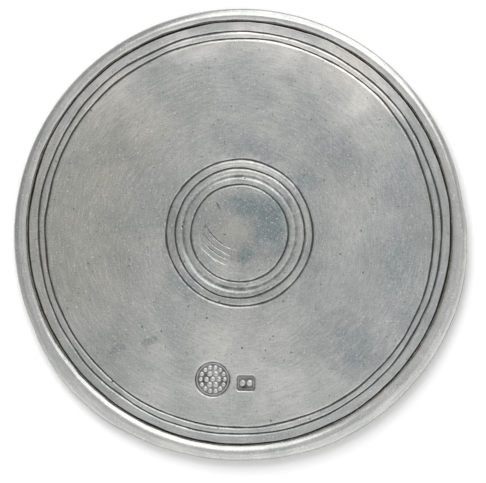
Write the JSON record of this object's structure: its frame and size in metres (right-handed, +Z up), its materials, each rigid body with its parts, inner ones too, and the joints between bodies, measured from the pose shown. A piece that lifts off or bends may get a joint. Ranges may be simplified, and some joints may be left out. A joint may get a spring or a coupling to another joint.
{
  "type": "wine bottle coaster",
  "caption": "Flat round pewter coaster for a wine bottle: a turned plate with fine lines and two struck marks, set in a half-round rim on a cork pad.",
  "frame": {"origin": "on the table under the middle of the rim, at the bottom centre of the bounding box; the plate, seam, film and cork share a centre 0.35 mm to the left of it and 0.45 mm behind it", "axes": "+Z up through the middle of the disc, +Y away from the struck marks, +X to the right with the marks nearest the viewer"},
  "size_m": [0.12, 0.12, 0.005],
  "materials": {
    "plate_pewter": "cast and turned pewter, hand rubbed, lightly patinated",
    "rim_pewter": "cast pewter, hand rubbed, a little brighter than the plate",
    "solder": "soft solder, dark with patina",
    "adhesive": "contact adhesive, dried clear amber",
    "cork": "fine-grain agglomerated cork, sanded"
  },
  "bodies": {
    "root": {"plate": "plate_pewter", "rim_ring": "rim_pewter", "solder_seam": "solder", "adhesive_film": "adhesive", "cork_pad": "cork"}
  },
  "joints": []
}
